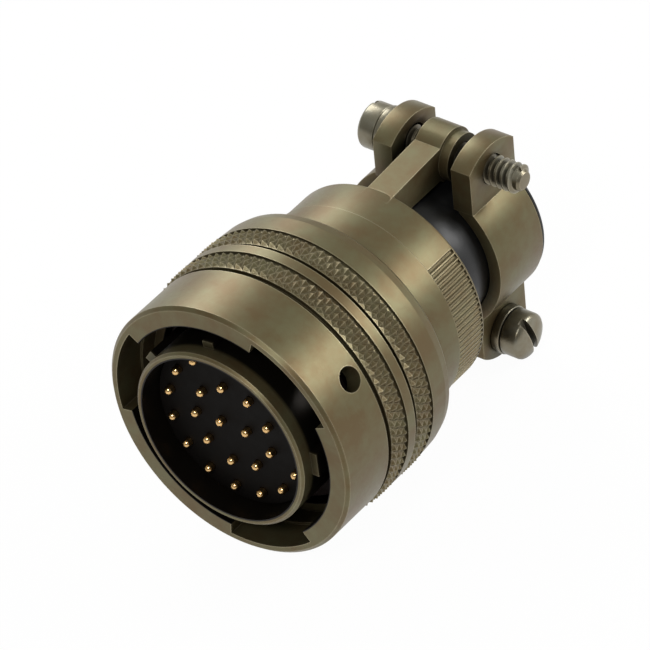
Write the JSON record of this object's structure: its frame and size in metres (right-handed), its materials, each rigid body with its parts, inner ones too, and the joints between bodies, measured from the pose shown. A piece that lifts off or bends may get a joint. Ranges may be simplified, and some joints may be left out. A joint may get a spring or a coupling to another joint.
{
  "type": "circular connector plug",
  "caption": "Bayonet-coupling circular plug with pin contacts, knurled coupling nut, end bell and two-saddle cable clamp round a rubber bushing.",
  "frame": {"origin": "on the connector's axis in the plane of the coupling nut's front face", "axes": "+Y along the axis from the mating end to the cable end, +Z towards the clamp arm that is uppermost, +X along the clamp screws"},
  "size_m": [0.0326, 0.0471, 0.0326],
  "materials": {
    "plated_shell": "olive-brown cadmium plating over turned and moulded metal, satin",
    "plated_hardware": "olive cadmium plating over steel, a little shinier than the shells",
    "spring_steel": "plain spring steel",
    "ferrule_metal": "plain turned",
    "contact_gold": "gold plated, polished",
    "insert_plastic": "moulded, matte",
    "insert_rubber": "moulded silicone, matte",
    "seal_rubber": "moulded silicone, matte",
    "bushing_rubber": "moulded rubber with a soft sheen"
  },
  "bodies": {
    "connector": {"plug_shell": "plated_shell", "shell_gasket": "seal_rubber", "face_seal": "insert_rubber", "insert_body": "insert_plastic", "contact_01": "contact_gold", "contact_02": "contact_gold", "contact_03": "contact_gold", "contact_04": "contact_gold", "contact_05": "contact_gold", "contact_06": "contact_gold", "contact_07": "contact_gold", "contact_08": "contact_gold", "contact_09": "contact_gold", "contact_10": "contact_gold", "contact_11": "contact_gold", "contact_12": "contact_gold", "contact_13": "contact_gold", "contact_14": "contact_gold", "contact_15": "contact_gold", "contact_16": "contact_gold", "contact_17": "contact_gold", "contact_18": "contact_gold", "contact_19": "contact_gold", "contact_20": "contact_gold", "contact_21": "contact_gold", "contact_22": "contact_gold", "contact_23": "contact_gold", "contact_24": "contact_gold", "contact_25": "contact_gold", "contact_26": "contact_gold", "wire_grommet": "insert_rubber", "wave_spring": "spring_steel", "thrust_washer": "spring_steel", "retaining_ring": "spring_steel"},
    "nut": {"coupling_nut": "plated_shell"},
    "ferrule": {"grommet_ferrule": "ferrule_metal"},
    "bell": {"end_bell": "plated_shell", "cable_bushing": "bushing_rubber"},
    "saddle_left": {"clamp_saddle_left": "plated_shell", "lock_washer_upper": "plated_hardware"},
    "saddle_right": {"clamp_saddle_right": "plated_shell", "lock_washer_lower": "plated_hardware"},
    "screw_upper": {"clamp_screw_upper": "plated_hardware"},
    "screw_lower": {"clamp_screw_lower": "plated_hardware"}
  },
  "joints": [
    {"name": "coupling_turn", "type": "hinge", "parent": "connector", "child": "nut", "pos_m": [0, 0.01, 0], "axis": [0, 1, 0], "continuous": true},
    {"name": "bell_advance", "type": "slide", "parent": "connector", "child": "ferrule", "axis": [0, 1, 0], "range_m": [0, 0.0026]},
    {"name": "bell_unscrew", "type": "hinge", "parent": "ferrule", "child": "bell", "pos_m": [0, 0.02, 0], "axis": [0, 1, 0], "range_deg": [0, 720]},
    {"name": "left_saddle_open", "type": "slide", "parent": "bell", "child": "saddle_left", "axis": [-1, 0, 0], "range_m": [0, 0.00159]},
    {"name": "right_saddle_open", "type": "slide", "parent": "bell", "child": "saddle_right", "axis": [1, 0, 0], "range_m": [0, 0.0016]},
    {"name": "upper_screw_turn", "type": "hinge", "parent": "saddle_left", "child": "screw_upper", "pos_m": [0, 0.0406, 0.0112], "axis": [-1, 0, 0], "range_deg": [0, 1441]},
    {"name": "lower_screw_turn", "type": "hinge", "parent": "saddle_right", "child": "screw_lower", "pos_m": [0, 0.0406, -0.0112], "axis": [1, 0, 0], "range_deg": [0, 1441]}
  ],
  "couplings": [
    {"joint": "bell_advance", "follows": "bell_unscrew", "m_per_rad": 0.00020213},
    {"joint": "right_saddle_open", "follows": "left_saddle_open", "ratio": 1},
    {"joint": "upper_screw_turn", "follows": "left_saddle_open", "rad_per_m": 15827},
    {"joint": "lower_screw_turn", "follows": "left_saddle_open", "rad_per_m": 15827}
  ]
}
